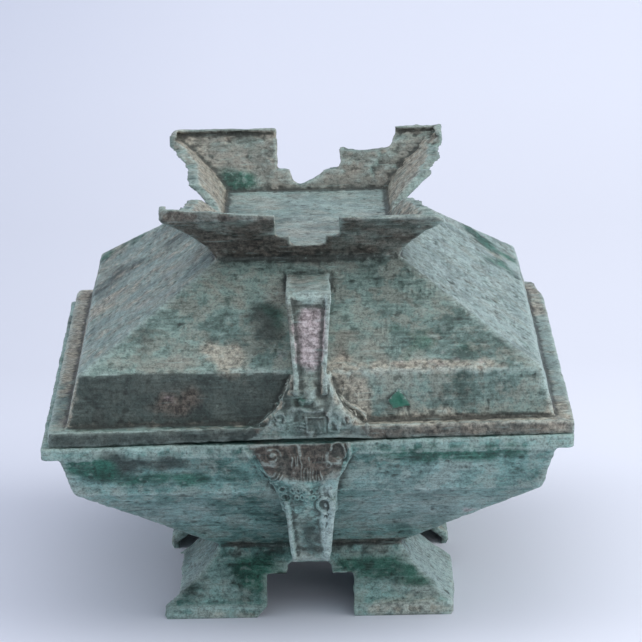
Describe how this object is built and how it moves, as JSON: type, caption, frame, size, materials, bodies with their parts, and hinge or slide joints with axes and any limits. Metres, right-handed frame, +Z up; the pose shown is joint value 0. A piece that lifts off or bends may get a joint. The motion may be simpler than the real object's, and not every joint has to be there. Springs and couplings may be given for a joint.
{
  "type": "bronze fu food vessel",
  "caption": "Rectangular ritual food vessel of cast bronze with a near-twin lid that lifts off, flared notched feet and beast-mask ear handles.",
  "frame": {"origin": "on the surface it stands on, under the middle of the rim", "axes": "+Z up; +Y along the long sides, so the handles are at -Y and +Y; +X along the short sides"},
  "size_m": [0.23, 0.2974, 0.1849],
  "materials": {
    "vessel": "corroded bronze, grey-green and emerald patina with earth in the hollows",
    "lid": "corroded bronze, pale grey-green patina with cream and brown crust"
  },
  "bodies": {
    "root": {"vessel": "vessel", "lid": "lid"}
  },
  "joints": []
}
